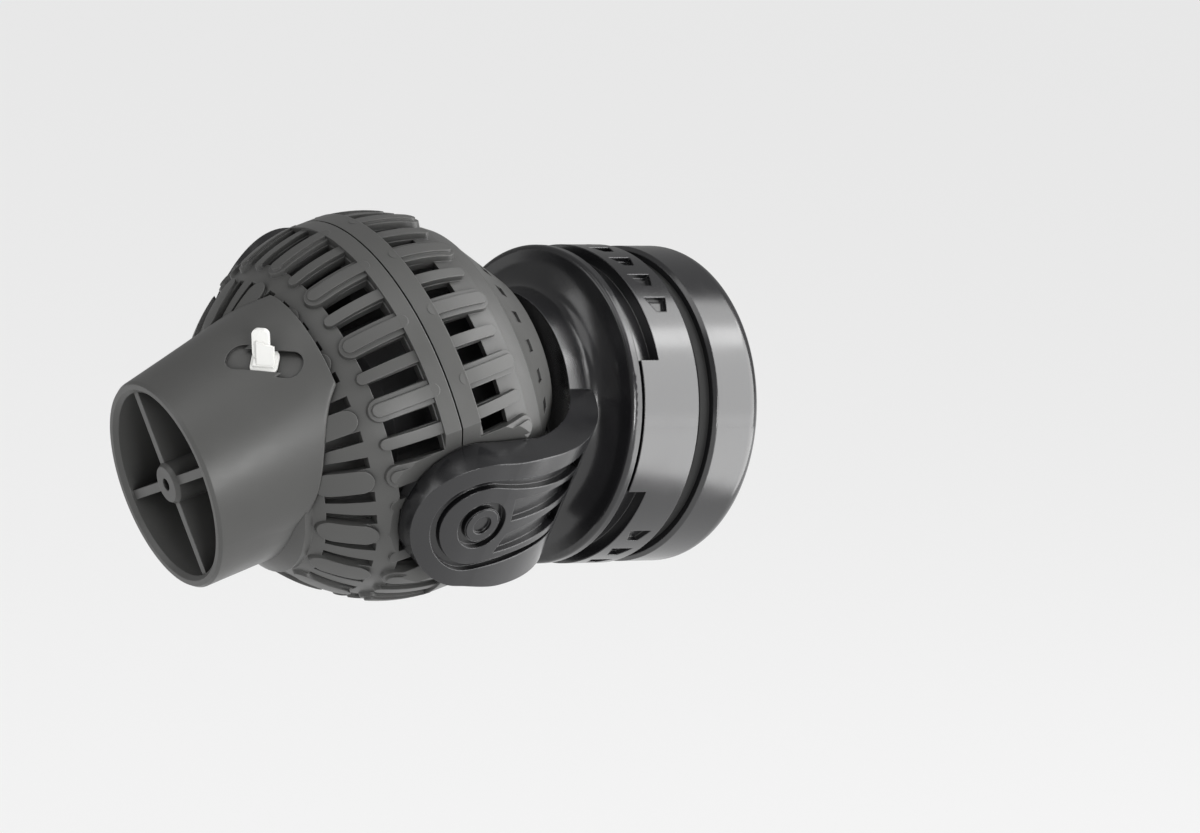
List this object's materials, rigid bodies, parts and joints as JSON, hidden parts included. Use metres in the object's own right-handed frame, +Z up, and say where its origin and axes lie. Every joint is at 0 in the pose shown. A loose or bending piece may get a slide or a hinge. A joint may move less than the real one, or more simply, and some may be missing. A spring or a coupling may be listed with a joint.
{
  "type": "wave maker pump",
  "caption": "Ball-shaped slotted circulation pump with a tapered outlet nozzle, tilting in a forked swivel arm on a two-part magnetic glass mount.",
  "frame": {"origin": "centre of the glass-contact plane, midway between the wet and dry rubber pads, on the mount axis", "axes": "+Y along the mount axis, from the pump through the glass to the dry magnet; +Z up; +X completes the right-handed frame"},
  "size_m": [0.1032, 0.1492, 0.0908],
  "materials": {
    "ball_plastic": "satin moulded",
    "arm_plastic": "semi-gloss moulded",
    "case_plastic": "gloss",
    "latch_plastic": "satin",
    "inner_plastic": "matte moulded",
    "propeller_plastic": "satin moulded",
    "potting": "cast resin",
    "rubber": "matte",
    "stainless": "brushed",
    "plated_steel": "zinc plated",
    "core_steel": "laminated, varnished",
    "copper": "enamelled copper wire",
    "magnet": "sintered magnet",
    "ceramic": "polished"
  },
  "bodies": {
    "glass_mount": {"wet_magnet_case": "case_plastic", "wet_magnet_cover": "case_plastic", "wet_steel_plate": "plated_steel", "wet_magnet_ring": "magnet", "wet_rubber_pad": "rubber", "swivel_washer": "stainless", "swivel_screw": "stainless"},
    "swivel_yoke": {"yoke_frame": "arm_plastic", "pivot_pins": "arm_plastic"},
    "pump_head": {"front_cage": "ball_plastic", "rear_cage": "ball_plastic", "cage_screws": "stainless", "pivot_hubs": "inner_plastic", "nozzle": "ball_plastic", "motor_housing": "inner_plastic", "stator_core": "core_steel", "stator_coils": "copper", "potting_disc": "potting", "motor_cap": "inner_plastic", "cap_seal": "rubber", "motor_screws": "stainless", "rear_bush": "ceramic", "rear_bush_holder": "inner_plastic", "front_bush": "ceramic", "cable_gland": "rubber"},
    "latch": {"latch_slider": "latch_plastic"},
    "impeller": {"impeller_shaft": "ceramic", "rotor_magnet": "magnet", "propeller": "propeller_plastic"},
    "dry_magnet": {"dry_magnet_case": "case_plastic", "dry_steel_plate": "plated_steel", "dry_magnet_ring": "magnet", "dry_magnet_cover": "case_plastic", "dry_rubber_pad": "rubber"}
  },
  "joints": [
    {"name": "swivel", "type": "hinge", "parent": "glass_mount", "child": "swivel_yoke", "pos_m": [0, -0.02, 0], "axis": [0, 1, 0], "continuous": true},
    {"name": "tilt", "type": "hinge", "parent": "swivel_yoke", "child": "pump_head", "pos_m": [0, -0.07, 0], "axis": [0.9026, 0, -0.4305], "range_deg": [-103, 57]},
    {"name": "impeller_spin", "type": "hinge", "parent": "pump_head", "child": "impeller", "pos_m": [0, -0.07, 0], "axis": [-0.1682, -0.9205, -0.3527], "continuous": true},
    {"name": "latch_slide", "type": "slide", "parent": "pump_head", "child": "latch", "axis": [-0.8289, -0.5565, -0.0559], "range_m": [-0.005, 0.005]},
    {"name": "dry_magnet_pull", "type": "slide", "parent": "glass_mount", "child": "dry_magnet", "axis": [0, 1, 0], "range_m": [0, 0.015]}
  ]
}
